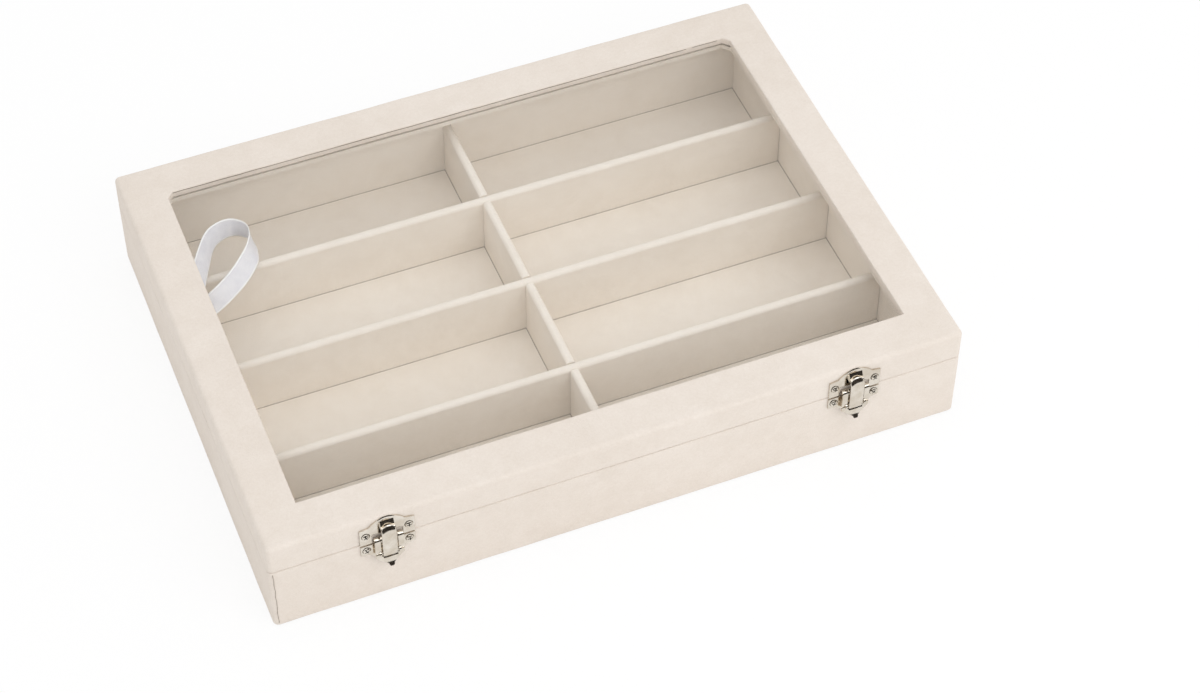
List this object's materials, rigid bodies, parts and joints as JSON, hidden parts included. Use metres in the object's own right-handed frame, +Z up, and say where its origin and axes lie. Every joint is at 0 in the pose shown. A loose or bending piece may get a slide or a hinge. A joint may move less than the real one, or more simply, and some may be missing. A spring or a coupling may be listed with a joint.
{
  "type": "sunglasses display tray",
  "caption": "Hinged velvet-covered display case with compartments for sunglasses under a glass-topped lid, held shut by draw latches.",
  "frame": {"origin": "centre of the underside", "axes": "+X to the right along the long side, +Y from the latches to the hinges, +Z up"},
  "size_m": [0.3378, 0.2526, 0.0559],
  "materials": {
    "velvet": "cream velvet with a short soft pile",
    "lining": "cream velvet over padded card",
    "underside": "plain woven backing sheet",
    "glass": "clear flat pane",
    "ribbon": "white satin with woven edges",
    "nickel": "bright plated steel sheet",
    "board": "plain fibreboard, hidden under the covering"
  },
  "bodies": {
    "base": {"base_board_back": "board", "base_board_front": "board", "base_board_left": "board", "base_board_right": "board", "base_cover": "velvet", "bottom_board": "board", "divider_back": "lining", "divider_center": "lining", "divider_front": "lining", "divider_middle": "lining", "floor_card": "lining", "hinge_base_leaf_left": "nickel", "hinge_base_leaf_right": "nickel", "hinge_base_screws": "nickel", "hinge_pin_left": "nickel", "hinge_pin_right": "nickel", "latch_base_plate_left": "nickel", "latch_base_plate_right": "nickel", "latch_base_screws": "nickel", "latch_lever_pin_left": "nickel", "latch_lever_pin_right": "nickel", "liner_back": "lining", "liner_front": "lining", "liner_left": "lining", "liner_right": "lining", "ribbon_stay": "ribbon", "underside_sheet": "underside"},
    "lid": {"lid_rail_front": "board", "lid_rail_back": "board", "lid_rail_left": "board", "lid_rail_right": "board", "lid_cover": "velvet", "window_glass": "glass", "glass_retainer_front": "lining", "glass_retainer_back": "lining", "glass_retainer_left": "lining", "glass_retainer_right": "lining", "hinge_lid_leaf_left": "nickel", "hinge_lid_leaf_right": "nickel", "hinge_lid_screws": "nickel", "latch_strike_plate_left": "nickel", "latch_strike_plate_right": "nickel", "latch_strike_screws": "nickel"},
    "lever_left": {"latch_lever_left": "nickel", "latch_draw_pin_left": "nickel"},
    "draw_left": {"latch_draw_plate_left": "nickel"},
    "lever_right": {"latch_lever_right": "nickel", "latch_draw_pin_right": "nickel"},
    "draw_right": {"latch_draw_plate_right": "nickel"}
  },
  "joints": [
    {"name": "lid_hinge", "type": "hinge", "parent": "base", "child": "lid", "pos_m": [0, 0.1237, 0.0391], "axis": [-1, 0, 0], "range_deg": [0, 95], "deforming": ["ribbon_stay"]},
    {"name": "lever_left", "type": "hinge", "parent": "base", "child": "lever_left", "pos_m": [-0.1136, -0.1236, 0.0417], "axis": [-1, 0, 0], "range_deg": [0, 110]},
    {"name": "draw_left", "type": "hinge", "parent": "lever_left", "child": "draw_left", "pos_m": [-0.1136, -0.1248, 0.0331], "axis": [-1, 0, 0], "range_deg": [-110, 0]},
    {"name": "lever_right", "type": "hinge", "parent": "base", "child": "lever_right", "pos_m": [0.1136, -0.1236, 0.0417], "axis": [-1, 0, 0], "range_deg": [0, 110]},
    {"name": "draw_right", "type": "hinge", "parent": "lever_right", "child": "draw_right", "pos_m": [0.1136, -0.1248, 0.0331], "axis": [-1, 0, 0], "range_deg": [-110, 0]}
  ],
  "couplings": [
    {"joint": "draw_left", "follows": "lever_left", "ratio": -1},
    {"joint": "draw_right", "follows": "lever_right", "ratio": -1}
  ]
}
